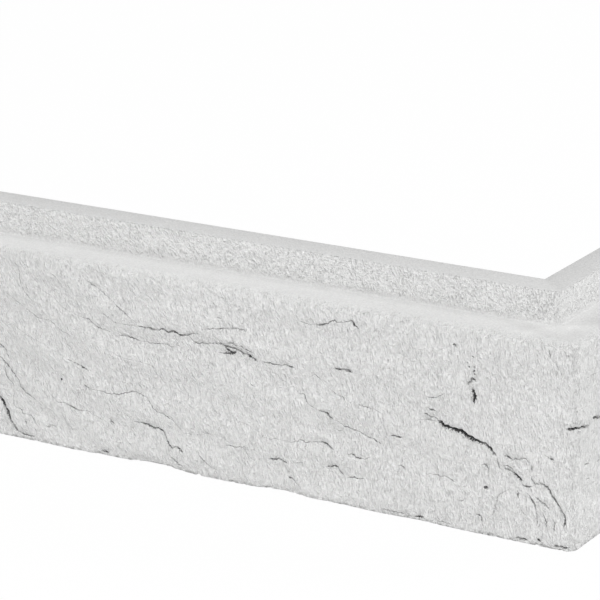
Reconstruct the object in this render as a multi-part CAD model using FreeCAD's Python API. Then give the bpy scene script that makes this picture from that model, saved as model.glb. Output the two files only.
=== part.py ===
import FreeCAD, Part
import math
import os

# Corner slip of cast concrete: one casting, an L in plan. Its two outer sides carry a hand-moulded
# brick face, and a thinner joint flange runs along the top of both legs.
# Frame: the origin is the inside arris on the bed plane, +Z is up, the long leg runs along -X and
# the short leg along +Y. The wall sides lie on y = 0 and x = 0. All sizes are in millimetres.

# Overall sizes of the casting
face_height = 65.0
joint_height = 11.0
flange_thickness = 9.5
face_step = 12.0
long_leg = 250.0
short_leg = 120.0

# Rolled edges
corner_roll = 3.4
ledge_roll = 3.0
bed_roll = 1.8
end_roll = 1.4
flange_corner_roll = 2.8
end_share_of_bed_roll = 0.8

# Broad swells of the moulded face, which fade out towards its rolled edges
swell_height = 0.42
swell_length = 58.0
swell_cross_length = 37.0
fade_width = 7.0

# The three waves of the swells: cycles in one swell length, cycles in one cross length, phase, share
swell_waves = [(1.0, 0.25, 0.9, 0.5), (-0.7, 1.0, 2.1, 0.3), (2.3, 0.9, 0.0, 0.2)]

# Bow-shaped flow folds, where the wet mix slid as it was pressed: they rise towards the far end of
# the long leg and sink gently towards the corner
fold_height = 0.36
fold_pitch = 15.0
bow_start = 140.0
bow_run = 60.0
bow_rise = 16.0
bow_fall = 0.07
fold_wander = 0.8
fold_strength_at_corner = 0.35

# Torn clefts: wedges that reach out past the face and narrow to a share of their width at the floor
cleft_floor = 0.25
cleft_reach = 1.2
cleft_fullness = 0.6

# The level slot torn across the outer corner
slot_height = 0.9
slot_depth = 2.6
slot_level = 38.6
slot_on_long_leg = 3.0
slot_on_short_leg = 7.5

# Spacing of the points that the moulded face is drawn through
face_pitch = 4.6

# Routes of the clefts on the long leg: distance from the outer corner and height above the bed,
# then the width at the face and the depth
long_clefts = [
    ([(47.0, 33.8), (41.9, 31.7), (37.8, 31.5), (34.5, 29.8), (30.0, 29.2), (25.2, 25.7)], 1.5, 3.6),
    ([(26.0, 26.4), (23.7, 27.1), (20.7, 25.7), (15.4, 27.0), (13.8, 21.4)], 0.7, 1.8),
    ([(24.2, 23.0), (20.6, 21.9), (17.3, 19.7), (14.2, 18.3)], 0.9, 2.0),
    ([(11.4, 20.1), (8.3, 18.3), (6.0, 14.9), (4.2, 11.9), (3.8, 7.5)], 0.7, 1.6),
    ([(14.8, 16.8), (12.9, 13.0), (12.2, 8.3), (12.1, 3.4)], 0.7, 1.6),
    ([(10.4, 13.2), (9.7, 9.0), (9.5, 5.4)], 0.5, 1.2),
    ([(51.4, 35.3), (49.0, 34.2), (46.4, 33.4)], 0.6, 1.6),
    ([(49.9, 37.4), (47.8, 36.8), (45.9, 36.1)], 0.5, 1.2),
    ([(34.6, 46.0), (34.2, 43.5), (34.5, 41.6)], 1.2, 2.6),
    ([(34.0, 52.6), (33.9, 51.4), (35.6, 47.4)], 0.6, 1.8),
    ([(29.9, 15.9), (29.3, 15.4), (28.8, 14.7)], 1.1, 2.0),
    ([(162.0, 51.8), (153.0, 47.3), (145.9, 46.1), (138.5, 46.0), (129.2, 48.2)], 0.8, 1.8),
    ([(132.8, 45.4), (125.5, 44.9), (120.4, 44.4), (116.0, 43.8), (109.6, 42.0)], 1.5, 2.4),
    ([(107.0, 42.2), (101.2, 42.4), (95.8, 42.1)], 0.6, 1.6),
    ([(128.3, 49.2), (123.9, 50.0), (118.5, 47.2), (111.8, 45.0)], 0.6, 1.4),
    ([(192.8, 55.4), (183.5, 48.4), (174.5, 45.9), (165.6, 42.5)], 0.6, 1.4),
    ([(161.4, 42.1), (155.5, 41.3), (147.5, 41.0), (137.2, 41.9)], 0.8, 1.6),
    ([(174.2, 59.4), (166.5, 54.8), (160.0, 50.7), (152.0, 47.0)], 0.5, 1.2),
    ([(197.8, 52.9), (192.3, 47.8), (186.0, 43.0), (180.0, 39.5)], 0.5, 1.2),
    ([(181.8, 32.1), (178.6, 30.5), (174.6, 28.3)], 0.6, 1.4),
    ([(175.6, 23.0), (162.6, 22.0), (155.3, 23.6), (147.4, 19.6), (137.9, 14.8)], 0.6, 1.4),
    ([(160.3, 16.8), (148.4, 13.0), (144.4, 12.2), (143.5, 9.1), (136.3, 6.4)], 1.0, 2.2),
    ([(207.8, 27.1), (200.3, 20.4), (193.0, 13.7), (188.1, 12.4)], 0.8, 1.8),
    ([(210.4, 17.0), (205.2, 8.8), (204.2, 5.2), (201.6, -1.0)], 1.3, 2.6),
    ([(190.0, 19.0), (185.4, 16.4), (177.0, 14.0)], 0.6, 1.2),
    ([(94.0, 33.7), (90.2, 30.2), (82.6, 27.8), (75.5, 25.3), (65.2, 23.0)], 0.5, 1.2),
    ([(88.4, 57.0), (84.0, 58.0), (78.7, 59.3), (74.0, 59.1)], 0.6, 1.4),
    ([(105.9, 10.3), (101.6, 11.2), (98.4, 10.0)], 0.7, 1.4),
    ([(86.7, 11.4), (81.1, 12.3), (77.6, 9.7), (70.7, 10.3)], 0.6, 1.2),
    ([(94.2, 18.3), (85.7, 19.3), (81.6, 17.6)], 0.5, 1.2),
]

# Chips out of the bottom arris of the long leg, given in the same way
bed_chips = [
    ([(158.0, -0.5), (150.0, 0.5), (143.0, 0.6), (137.0, -0.5)], 2.0, 1.6),
    ([(112.0, -0.5), (104.0, 0.4), (97.0, -0.5)], 1.6, 1.4),
    ([(64.0, -0.5), (57.0, 0.3), (52.0, 0.3), (46.0, -0.5)], 1.4, 1.2),
    ([(20.0, -0.5), (15.0, 0.5), (8.0, -0.5)], 1.6, 1.4),
]

# Routes on the short leg, given in the same way
short_clefts = [
    ([(10.6, 39.0), (16.3, 37.8), (24.0, 38.0), (31.0, 35.2)], 1.0, 2.4),
    ([(6.8, 52.9), (13.0, 52.4), (20.0, 50.6)], 0.6, 1.4),
    ([(5.8, 26.6), (10.0, 25.3), (16.0, 24.4)], 0.6, 1.4),
    ([(52.0, 51.0), (62.0, 47.2), (71.0, 46.4), (82.0, 42.8)], 0.7, 1.6),
    ([(40.0, 21.5), (49.0, 18.6), (58.0, 18.9), (66.0, 14.0)], 0.8, 1.8),
    ([(88.0, 27.0), (95.0, 22.4), (104.0, 20.8)], 0.6, 1.4),
]

thickness = flange_thickness + face_step
long_end = thickness - long_leg
short_end = short_leg - thickness
total_height = face_height + joint_height
end_radius = min(end_roll, end_share_of_bed_roll * bed_roll)
near = 1e-6


def flow_level(run, z):
    """Height above the flow line that meets the bed at the corner; run is negative on the long leg."""
    from_corner = max(-run, 0.0)
    rise = bow_rise * max(0.0, (from_corner - bow_start) / bow_run) ** 2
    fall = bow_fall * max(0.0, bow_start - from_corner)
    return z - rise + fall


def relief(run, z):
    """How far the moulded face stands out from its mean plane; run is negative on the long leg."""
    turn = 2 * math.pi
    swell = 0.0
    for cycles_along, cycles_up, phase, share in swell_waves:
        cycles = cycles_along * run / swell_length + cycles_up * z / swell_cross_length
        swell += share * math.sin(turn * cycles + phase)
    wander = fold_wander * math.sin(turn * run / swell_length)
    fold = math.sin(turn * flow_level(run, z) / fold_pitch + wander)
    gain = 1 - fold_strength_at_corner
    strength = fold_strength_at_corner + gain * min(1.0, max(-run, 0.0) / bow_start)
    return swell_height * swell + fold_height * strength * fold


def fade(distance):
    """From 0 at a rolled edge to 1 beyond the fade width, with no kink at either end."""
    share = min(1.0, max(0.0, distance / fade_width))
    return share * share * (3 - 2 * share)


def long_side(u, out, z):
    """A point on the long leg: distance from the outer corner, distance from the wall, height."""
    return FreeCAD.Vector(thickness - u, -out, z)


def short_side(u, out, z):
    """A point on the short leg, measured in the same way."""
    return FreeCAD.Vector(out, u - thickness, z)


def evenly(start, end):
    """Evenly spaced places from start to end, both included."""
    count = max(3, math.ceil((end - start) / face_pitch))
    return [start + (end - start) * i / count for i in range(count + 1)]


def curve_through(points, places):
    """A smooth curve that passes each point at its own parameter."""
    curve = Part.BSplineCurve()
    curve.interpolate(Points=points, Parameters=places)
    return curve


def moulded_panel(side, leg, direction):
    """The relief of one leg as one surface, whose border is a plain rectangle inside the rolls."""
    along = evenly(corner_roll, leg - end_radius)
    upward = evenly(bed_roll, face_height - ledge_roll)
    curves = []
    for z in upward:
        points = []
        for u in along:
            hold = fade(min(u - along[0], along[-1] - u)) * fade(min(z - upward[0], upward[-1] - z))
            points.append(side(u, thickness + hold * relief(direction * u, z), z))
        curves.append(curve_through(points, along))
    columns = [curve_through(list(column), upward) for column in zip(*[c.getPoles() for c in curves])]
    surface = Part.BSplineSurface()
    surface.buildFromPolesMultsKnots(
        [column.getPoles() for column in columns],
        curves[0].getMultiplicities(),
        columns[0].getMultiplicities(),
        curves[0].getKnots(),
        columns[0].getKnots(),
        False,
        False,
        3,
        3,
    )
    return surface.toShape()


def edges_where(shape, test):
    """The shape's edges whose inner points all pass a test."""
    return [e for e in shape.Edges if all(test(p) for p in e.discretize(5)[1:-1])]


def is_outside(point):
    """Whether a point lies beyond the flange's front, on the moulded side."""
    return point.x > flange_thickness + near or point.y < -flange_thickness - near


def is_at_end(point):
    """Whether a point lies on the plane of a cut end."""
    return abs(point.x - long_end) < near or abs(point.y - short_end) < near


def l_block(depth, height, roll):
    """An L in plan, of one depth out from the wall sides, with its outer upright corner rolled."""
    plan = [(long_end, 0), (0, 0), (0, short_end), (depth, short_end), (depth, -depth), (long_end, -depth)]
    points = [FreeCAD.Vector(x, y, 0.0) for x, y in plan]
    block = Part.Face(Part.makePolygon(points + [points[0]])).extrude(FreeCAD.Vector(0, 0, height))
    corner = edges_where(block, lambda p: abs(p.x - depth) < near and abs(p.y + depth) < near)
    return block.makeFillet(roll, corner)


def rolled_block():
    """The brick part of the casting with its edges rolled and its two faces still flat."""
    block = l_block(thickness, face_height, corner_roll)
    for level, radius in ((face_height, ledge_roll), (0.0, bed_roll)):
        rim = edges_where(block, lambda p: abs(p.z - level) < near and is_outside(p) and not is_at_end(p))
        block = block.makeFillet(radius, rim)
    ends = edges_where(block, lambda p: is_at_end(p) and is_outside(p) and near < p.z < face_height - near)
    return block.makeFillet(end_radius, ends)


def brick_body():
    """The brick part with the moulded relief in place of its two flat faces."""

    def is_flat_front(face):
        return all(abs(v.X - thickness) < near or abs(v.Y + thickness) < near for v in face.Vertexes)

    kept = [f for f in rolled_block().Faces if not (isinstance(f.Surface, Part.Plane) and is_flat_front(f))]
    panels = [moulded_panel(long_side, long_leg, -1), moulded_panel(short_side, short_leg, 1)]
    shell = Part.makeShell(kept + panels)
    shell.sewShape()
    solid = Part.makeSolid(shell)
    if solid.Volume < 0:
        solid.reverse()
    return solid


def cleft(side, route, width, depth):
    """A wedge along a route on one leg, widest midway and pointed at both ends."""
    last = len(route) - 1
    widths = [width * math.sin(math.pi * i / last) ** cleft_fullness for i in range(1, last)]
    across = []
    for before, after in zip(route[:-2], route[2:]):
        du = after[0] - before[0]
        dz = after[1] - before[1]
        length = math.hypot(du, dz)
        across.append((-dz / length, du / length))

    def ring(out, share):
        upper = []
        lower = []
        for (u, z), (nu, nz), w in zip(route[1:-1], across, widths):
            half = w * share / 2
            upper.append(side(u + nu * half, out, z + nz * half))
            lower.append(side(u - nu * half, out, z - nz * half))
        tips = [side(u, out, z) for u, z in (route[0], route[-1])]
        return Part.makePolygon([tips[0]] + upper + [tips[1]] + lower[::-1] + [tips[0]])

    mouth = 1 + (1 - cleft_floor) * cleft_reach / depth
    rings = [ring(thickness + cleft_reach, mouth), ring(thickness - depth, cleft_floor)]
    return Part.makeLoft(rings, True, True)


def corner_slot():
    """The short level slot torn across the outer corner."""
    edge = thickness + cleft_reach
    floor = thickness - slot_depth
    plan = [
        (thickness - slot_on_long_leg, -edge),
        (edge, -edge),
        (edge, slot_on_short_leg - thickness),
        (floor, -floor),
    ]
    points = [FreeCAD.Vector(x, y, slot_level - slot_height / 2) for x, y in plan]
    return Part.Face(Part.makePolygon(points + [points[0]])).extrude(FreeCAD.Vector(0, 0, slot_height))


def corner_slip():
    """The whole casting."""
    flange = l_block(flange_thickness, total_height, flange_corner_roll)
    body = brick_body().fuse(flange).removeSplitter()
    cuts = [cleft(long_side, route, width, depth) for route, width, depth in long_clefts + bed_chips]
    cuts += [cleft(short_side, route, width, depth) for route, width, depth in short_clefts]
    return body.cut(cuts + [corner_slot()])


casting = corner_slip()
print("solids", len(casting.Solids), "valid", casting.isValid(), "cm3", round(casting.Volume / 1000, 2))
os.makedirs("parts", exist_ok=True)
casting.Solids[0].exportStep("parts/corner_slip.step")
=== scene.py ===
import math

import bmesh
import bpy
from mathutils import Matrix, Vector, kdtree

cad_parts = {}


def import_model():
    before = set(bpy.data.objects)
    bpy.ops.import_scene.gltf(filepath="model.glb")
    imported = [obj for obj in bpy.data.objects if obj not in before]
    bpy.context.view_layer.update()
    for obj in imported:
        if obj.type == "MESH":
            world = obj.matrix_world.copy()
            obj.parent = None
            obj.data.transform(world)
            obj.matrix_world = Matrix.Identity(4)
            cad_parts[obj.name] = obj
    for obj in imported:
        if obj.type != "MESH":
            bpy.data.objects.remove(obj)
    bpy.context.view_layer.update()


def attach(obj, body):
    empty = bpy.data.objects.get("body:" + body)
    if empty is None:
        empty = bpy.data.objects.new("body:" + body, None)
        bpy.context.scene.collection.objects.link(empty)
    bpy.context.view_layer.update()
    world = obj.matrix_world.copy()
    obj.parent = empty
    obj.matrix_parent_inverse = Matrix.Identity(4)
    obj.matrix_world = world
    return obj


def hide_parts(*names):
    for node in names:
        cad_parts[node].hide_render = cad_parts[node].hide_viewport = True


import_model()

# Concrete corner slip, drawn over its CAD solid in the same frame.
# Lengths are written in millimetres and become metres where a mesh or a node takes them.
MM = 0.001

# Sizes of the casting, as in the part's source. Only the bed's roll is tighter, because the wear and
# the chips of the bottom arris are added to it here
FACE_HEIGHT = 65.0
JOINT_HEIGHT = 11.0
FLANGE_THICKNESS = 9.5
FACE_STEP = 12.0
LONG_LEG = 250.0
SHORT_LEG = 120.0
CORNER_ROLL = 3.4
LEDGE_ROLL = 3.0
BED_ROLL = 0.6
END_ROLL = 1.4
FLANGE_CORNER_ROLL = 2.8
THICKNESS = FLANGE_THICKNESS + FACE_STEP
TOTAL_HEIGHT = FACE_HEIGHT + JOINT_HEIGHT

# Small rolls of the flange and the wall side, which only the mesh has
SOFT_EDGE = 0.45
FLANGE_FOOT = 0.4

# Swells and bow-shaped flow folds of the face, as in the part's source. A wave of the swells is given
# by its cycles along, its cycles up, its phase and its share
SWELL_WAVES = [(1.0, 0.25, 0.9, 0.5), (-0.7, 1.0, 2.1, 0.3), (2.3, 0.9, 0.0, 0.2)]
BOW_START = 140.0
BOW_RUN = 60.0
BOW_RISE = 16.0
BOW_FALL = 0.07
FOLD_WANDER = 0.8
FOLD_STRENGTH_AT_CORNER = 0.35

# The mesh: its spacing along the legs, its steps round the corner, how near to a crack it is cut
# finer, the strength from which a crack is wide, and the most triangles it keeps
SPACING = 0.8
CORNER_STEPS = 10
NEAR_CRACK = 1.7
NEAR_WIDE_CRACK = 0.8
WIDE_CRACK = 1.7
MOST_TRIANGLES = 190000

# Torn cracks: run from the outer corner (minus on the long leg), height above the bed, and how
# strong the crack is there: 1 is a hairline and 5 gapes
CRACKS = [
    [(-174.3, 59.3, 0.6), (-172, 58.1, 1.3), (-169.1, 56.5, 1.4), (-167.1, 55.6, 1),
     (-164.5, 53.9, 0.6), (-162.2, 52.8, 0.7), (-161.6, 51.9, 1.2), (-159.9, 50.9, 1.4),
     (-157.1, 49.3, 1.2), (-154.8, 48.1, 0.9), (-153.4, 46.8, 1), (-151.9, 46.5, 1.6),
     (-149.6, 46.4, 2), (-147.3, 46, 2.1), (-145.3, 46.1, 1.6), (-143.8, 46.8, 1.8),
     (-141.6, 46.2, 2.1), (-139.8, 46.5, 2), (-137.6, 45.7, 2.2), (-135.3, 46.1, 2),
     (-133.3, 46.6, 1.6), (-132.4, 47.4, 1.4), (-129.6, 47.6, 0.8)],
    [(-134.4, 46.8, 0.5), (-133.3, 45.5, 1.2), (-131.3, 44.2, 1.7), (-128.5, 44.5, 1.5),
     (-124.5, 45.5, 1.2), (-122.8, 45.4, 1.3), (-119.5, 46.1, 1.3), (-116.6, 47, 1.2)],
    [(-129.5, 49.2, 0.6), (-127.3, 49.6, 1), (-124.4, 50.1, 1.2), (-122.7, 50.3, 1.3),
     (-119.9, 50.9, 1.3), (-117.1, 51.2, 1.4), (-114.3, 51, 1.8), (-112.8, 50.5, 1.2)],
    [(-167.6, 49.4, 0.5), (-163.8, 46.9, 1), (-161, 45.9, 1), (-157.2, 46.1, 0.8), (-154.3, 46.2, 0.8),
     (-152.8, 45.8, 0.6)],
    [(-193.8, 55.3, 0.4), (-191.8, 53.6, 0.5), (-188.2, 52.1, 0.7), (-185.3, 50.5, 0.6),
     (-182.4, 48.4, 0.7), (-179.5, 47, 0.6), (-176.5, 46.2, 0.7), (-174.8, 46, 0.8),
     (-172.4, 45.6, 1.4), (-170.1, 44.3, 1.2), (-167.8, 43.2, 1.4), (-165.2, 42.6, 1.4),
     (-163.4, 42.4, 0.5)],
    [(-161.4, 42.1, 0.5), (-159.6, 41.8, 1.4), (-157.3, 41.9, 1.7), (-155, 41.5, 1.6),
     (-153.2, 41.4, 1), (-149.8, 41.3, 1.1), (-147.4, 41.4, 1.2), (-144.6, 41.6, 1),
     (-142.3, 41.8, 1.2), (-140.5, 41.3, 1.2), (-138.8, 42.3, 1), (-136.8, 41.6, 0.9)],
    [(-199.9, 61.1, 0.4), (-198.8, 58.2, 0.8), (-197.8, 53.7, 0.8), (-196.4, 51.3, 0.8),
     (-194.6, 49.8, 1), (-192.3, 47.8, 0.7), (-191.5, 46.4, 0.4)],
    [(-186.4, 59.3, 0.8), (-183.8, 57.9, 1), (-182.1, 55.8, 0.7), (-180.4, 54, 0.6),
     (-180.8, 51.7, 0.6), (-181.4, 50, 0.4)],
    [(-204.6, 49.8, 0.4), (-201.7, 48.5, 0.8), (-199.9, 47.4, 0.6), (-196.9, 46.1, 0.6),
     (-194.6, 44.7, 0.8), (-191.9, 42.9, 1.2), (-189.5, 42.9, 0.6), (-187.4, 42.9, 0.8),
     (-185.7, 41.9, 1), (-183.3, 40.5, 0.9), (-179.8, 39.3, 0.6), (-178, 38.8, 0.4)],
    [(-206.9, 39.9, 0.9), (-204.6, 38.7, 0.6), (-201.5, 38.9, 0.6), (-197.9, 37.1, 0.8),
     (-193.7, 35.7, 0.8), (-191.4, 34.8, 0.5), (-187.8, 34.6, 0.4)],
    [(-201.2, 32.4, 0.6), (-197, 30.5, 0.6), (-194.7, 27.8, 0.5), (-192.4, 25.5, 0.5),
     (-190.7, 22.7, 0.6), (-190.2, 20.1, 0.7), (-187.8, 17.9, 0.8), (-184.9, 15.8, 1),
     (-182.5, 15.7, 1.3), (-180.1, 15.1, 1.4), (-177.2, 14.1, 1.4), (-175.4, 14.1, 0.7),
     (-173.6, 14.4, 0.8), (-169.5, 12.8, 0.6), (-167.1, 12.4, 0.6)],
    [(-208.6, 31.8, 1.2), (-207.4, 30.9, 1.4), (-205.9, 29.8, 1.4), (-204.5, 27.7, 1),
     (-203.3, 26.3, 0.6)],
    [(-208.7, 27.8, 1.3), (-207.6, 26.9, 1.5), (-205.8, 25.7, 1.3), (-204, 24.1, 1.3),
     (-201.9, 22.4, 1.4), (-199.9, 20.1, 1.1), (-199.1, 17.8, 1.5), (-196.7, 16.1, 1.5),
     (-194.6, 15.2, 0.9), (-192.3, 13.5, 0.7), (-189.9, 12.6, 0.6), (-188.1, 12.6, 0.5)],
    [(-205.8, 25.4, 0.8), (-205.3, 22.3, 1.4), (-204.2, 19.9, 1.4), (-201.8, 18.2, 1.2)],
    [(-201.5, 17.9, 0.6), (-202.9, 14.8, 0.8), (-203, 12.7, 0.8), (-201.9, 11, 0.8), (-200, 10.3, 1.2),
     (-199.2, 9.1, 1), (-196.1, 8.9, 0.9), (-194.4, 7.1, 0.9), (-192.5, 4.9, 0.7)],
    [(-198.9, 7.5, 0.8), (-198.1, 6.4, 1.7), (-197.1, 5.4, 1.2)],
    [(-210, 15.2, 2.2), (-208.2, 13.1, 2.8), (-207.1, 11.5, 2.8), (-205.3, 8.6, 3), (-204.2, 5.8, 2.4),
     (-202.8, 3.7, 2.4), (-201.8, 2.4, 1.6), (-201.1, 1.1, 0.8)],
    [(-190.3, 6.7, 1.4), (-189.4, 6.1, 1.8), (-187.7, 6.9, 1.2), (-185.8, 6.3, 1)],
    [(-183.5, 13.4, 0.5), (-182.7, 10.4, 0.8), (-181, 8.1, 0.8), (-179.4, 6.2, 0.8),
     (-178.7, 5.1, 0.4)],
    [(-165.9, 13.3, 1), (-164.4, 12.4, 1.8), (-162.9, 11.5, 1.4)],
    [(-176.2, 23.1, 0.6), (-173.8, 23.2, 1.1), (-171.5, 22.3, 0.9), (-169.1, 22.4, 0.8),
     (-165.6, 22, 1.2), (-162, 21.9, 1.3), (-159.7, 22.6, 1.2), (-156.7, 23.6, 1.1),
     (-153.8, 23.8, 1.3), (-151.5, 22.9, 1.2), (-149.5, 21.4, 0.9), (-148.1, 19.6, 1.1),
     (-145.2, 18.6, 1.4), (-142.3, 17.5, 1.4), (-140.1, 16.1, 1), (-138.1, 14.2, 0.7),
     (-136.7, 12.9, 0.5)],
    [(-159.6, 17.1, 0.7), (-157.6, 15.1, 0.8), (-155.2, 14, 0.9), (-152.9, 13.9, 1.8),
     (-150.6, 13.5, 1.8), (-148.3, 12.9, 2.1), (-145.4, 12.6, 1.9), (-144.2, 11.5, 1.6),
     (-143.7, 9.6, 2), (-142.6, 8.5, 2), (-140.9, 7.8, 1.5), (-139.4, 8.3, 1.8), (-138, 7.5, 1.9),
     (-136.6, 6.5, 1.5)],
    [(-142.1, 5.5, 1), (-140.4, 3.5, 1.6), (-139.3, 2.6, 1.8), (-137, 2, 1.2)],
    [(-181.3, 31, 1), (-178.9, 30.4, 1), (-176.6, 29.7, 1.4), (-174.5, 28.8, 1.7), (-171.9, 27.7, 0.8)],
    [(-181.4, 36.1, 0.8), (-179.9, 35.1, 1.1), (-178.7, 34.4, 0.8)],
    [(-126.7, 24.4, 0.5), (-125, 23.4, 0.8), (-122.8, 22.3, 0.6)],
    [(-132.2, 9.1, 0.5), (-129.4, 5.5, 1), (-126.6, 3.9, 1.4), (-123.7, 3.2, 1.2)],
    [(-137.5, 13.2, 0.5), (-131.5, 13.6, 0.6), (-128, 14.9, 0.5), (-125.2, 14.2, 0.5)],
    [(-165.6, 37.2, 0.5), (-161.6, 35.5, 0.7), (-157.5, 34.7, 0.7), (-153.4, 34.8, 0.6),
     (-150, 34.4, 0.8), (-145.9, 33.3, 0.6)],
    [(-126.7, 38.8, 0.8), (-125.5, 38.3, 1.4), (-124.6, 37.8, 0.9)],
    [(-174.5, 54.2, 0.5), (-171.9, 52.3, 0.8), (-170.4, 51.5, 0.5)],
    [(-122.6, 45.5, 1.3), (-119.8, 45, 1.8), (-117, 44.6, 2.6), (-115.3, 44.1, 2.6),
     (-113.7, 43.6, 2.4), (-112, 43.2, 3), (-110.6, 42.3, 2.6), (-108.8, 41.6, 1.4)],
    [(-124.5, 46.4, 1), (-122, 45.4, 1.2), (-119.5, 43.9, 2.4), (-117.9, 43, 3), (-116.2, 44, 2.2)],
    [(-119.3, 47.1, 1.2), (-117, 46.1, 1.4), (-114.7, 45.7, 1.3), (-112.5, 44.8, 1.4),
     (-109.6, 44.2, 0.7)],
    [(-123.8, 42.5, 1), (-121.5, 42.6, 1.6), (-119.3, 42.7, 1.6), (-117.9, 42.2, 1.6)],
    [(-107.5, 42.1, 0.9), (-105.4, 41.7, 1.5), (-102, 41.9, 1.4), (-98.7, 42.3, 1.4),
     (-97.1, 42.1, 1.8), (-95.3, 42.1, 1)],
    [(-98.6, 44.2, 0.9), (-97.6, 43.7, 1.4), (-96.7, 43.1, 0.9)],
    [(-107.9, 39.1, 0.8), (-105.4, 39, 1), (-102.6, 38.8, 0.8), (-101, 37.5, 0.9), (-98.8, 36.7, 0.6),
     (-96.6, 35.8, 0.6), (-94.4, 34.2, 0.8), (-92.5, 33.8, 1.4), (-91.2, 31.7, 1.2), (-89, 30.4, 1.1),
     (-86.8, 30, 1.1), (-84.7, 29.4, 1.9), (-83.2, 28.3, 1.7), (-81.4, 27.5, 0.9), (-79.3, 26.9, 0.9),
     (-78.4, 26.3, 1.2), (-77.1, 26, 1.2), (-75, 25.6, 1.7), (-73.3, 25.1, 1), (-71.7, 24.5, 1.3),
     (-69, 23.7, 1.4), (-65.8, 22.8, 1.3), (-64.5, 22.6, 0.6)],
    [(-82.8, 26.3, 0.7), (-81.4, 24.5, 1.1), (-79.8, 24.3, 1), (-78.5, 24.8, 0.6)],
    [(-91.1, 39.7, 0.5), (-89.2, 40.6, 1), (-87.4, 40.6, 1.1), (-86.2, 39.8, 0.5), (-84.6, 38.1, 0.7),
     (-82.4, 36.7, 0.7), (-80.8, 35.8, 1.1), (-78.7, 35.5, 1.3), (-77.8, 34.6, 0.8), (-76.8, 33.3, 0.7),
     (-76.4, 32.1, 0.4)],
    [(-82.6, 44.6, 1.3), (-80.2, 44.4, 1.8), (-78.1, 44.5, 2), (-76.4, 44.4, 2.1), (-74.7, 44, 1.5)],
    [(-73, 34.5, 0.5), (-71.9, 34, 1.1), (-70.1, 34, 1.2), (-67.9, 33.8, 1.1), (-65.8, 33, 0.8),
     (-63.6, 32.1, 0.8)],
    [(-93.7, 57.4, 0.8), (-92.5, 57.2, 1.2), (-90.9, 56.9, 1), (-89.8, 56.8, 0.7), (-88.2, 57.1, 1.3),
     (-86.6, 57.4, 1.9), (-84.9, 57.7, 1.9), (-83.3, 58.4, 1.6), (-81.4, 59.8, 1.4), (-80.1, 59.2, 1.2),
     (-77.9, 59.5, 1), (-75.5, 60.5, 1.5), (-74.7, 59.5, 2), (-73.7, 58.7, 1.6), (-72.1, 58, 0.8)],
    [(-124.1, 53.7, 0.8), (-122.7, 53.8, 1.4), (-121.2, 53.3, 1)],
    [(-126.2, 38.4, 0.9), (-125.6, 38.1, 1.5), (-124.8, 37.7, 1)],
    [(-112, 34.3, 0.8), (-110.8, 33.7, 1.4), (-109.5, 33.2, 0.9)],
    [(-126.2, 23.7, 0.7), (-124.2, 22.5, 0.9), (-122.1, 21.8, 0.7)],
    [(-116.3, 21.3, 0.5), (-111.8, 20.1, 0.6), (-109.1, 19.1, 0.6), (-106.8, 17.4, 0.7),
     (-103.5, 17.5, 0.8), (-100.2, 17.6, 0.7), (-96.8, 17.5, 0.8), (-94.1, 18.7, 1), (-91.3, 18.5, 1.2),
     (-88, 19.1, 1.2), (-84.7, 19.2, 1.8), (-83.1, 18.2, 1.6), (-81.4, 17.7, 0.8)],
    [(-106.1, 10.5, 1.3), (-103.6, 10.7, 2), (-101.4, 11.1, 1.8), (-100, 10.6, 1.8), (-98.8, 10.2, 1.2),
     (-97.8, 10.4, 0.5), (-96.4, 11, 0.7), (-94.2, 11.4, 0.8), (-92, 11.3, 0.7)],
    [(-87, 11.1, 0.6), (-84.3, 11.7, 1.3), (-82.6, 12.1, 2), (-81.1, 12.4, 1.8), (-80.4, 11.9, 1.3),
     (-79.4, 10.6, 1.2), (-77.6, 9.4, 0.9)],
    [(-121.9, 12.2, 0.7), (-119.3, 12.2, 1.2), (-117, 12.2, 1.3), (-114.8, 12.7, 1.2),
     (-113.7, 11.1, 0.9), (-112, 9.7, 0.9), (-110.8, 8.8, 0.7)],
    [(-129.8, 16, 0.7), (-127.2, 15.1, 1), (-124.5, 14.4, 0.8)],
    [(-62.5, 25.7, 0.8), (-60.9, 26.2, 1.8), (-59.4, 26.1, 2), (-57, 26.3, 0.9)],
    [(-46.1, 33.9, 2), (-45.5, 33.1, 3.2), (-44.4, 32.3, 4.2), (-42.2, 31.6, 3.8), (-40, 31.5, 3.6),
     (-37.9, 31.1, 5), (-36, 29.9, 5.6), (-34.1, 29.5, 4.2), (-31.9, 29.1, 3), (-29.8, 29, 2.6),
     (-28.2, 27.9, 2.8), (-26.8, 26.6, 2.6), (-25.4, 26, 1.4)],
    [(-51.2, 35.4, 1), (-49.9, 34.8, 1.7), (-48.2, 34.2, 1.5), (-46.9, 34.3, 1), (-45.5, 33.4, 2)],
    [(-52.9, 32.6, 0.8), (-49.9, 33.1, 1.3), (-47.7, 33.3, 1.2), (-45.8, 33.1, 1.6)],
    [(-50, 37.3, 0.9), (-48.2, 36.7, 1.6), (-46, 36.2, 1.4)],
    [(-50.1, 40.9, 0.7), (-48.8, 40.6, 1), (-47.1, 40.7, 1.3), (-45, 41.8, 1), (-42.7, 43, 0.7)],
    [(-44.3, 40.2, 0.7), (-43.6, 39.3, 1.4), (-43.3, 38.2, 0.8)],
    [(-6.4, 39.8, 1.2), (-5.6, 41.2, 0.8), (-5, 42.8, 0.5)],
    [(-20.3, 59.7, 0.6), (-19.2, 57.7, 0.9), (-18.1, 55.9, 0.9), (-16.5, 54.1, 0.7)],
    [(-9.2, 62.4, 1), (-8.6, 60.9, 1.3), (-8.1, 58.8, 1.2)],
    [(-6.7, 57.9, 1.2), (-5.3, 56.1, 0.9), (-4.2, 53.8, 0.9)],
    [(-6.5, 57.3, 0.8), (-6.3, 55.4, 1.1), (-6.4, 53.2, 0.9)],
    [(-2.2, 38.6, 2.2), (-1.7, 38.6, 2.8), (0.9, 38.7, 2.8), (5.6, 38.1, 2.8), (7.5, 37.9, 2)],
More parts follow.
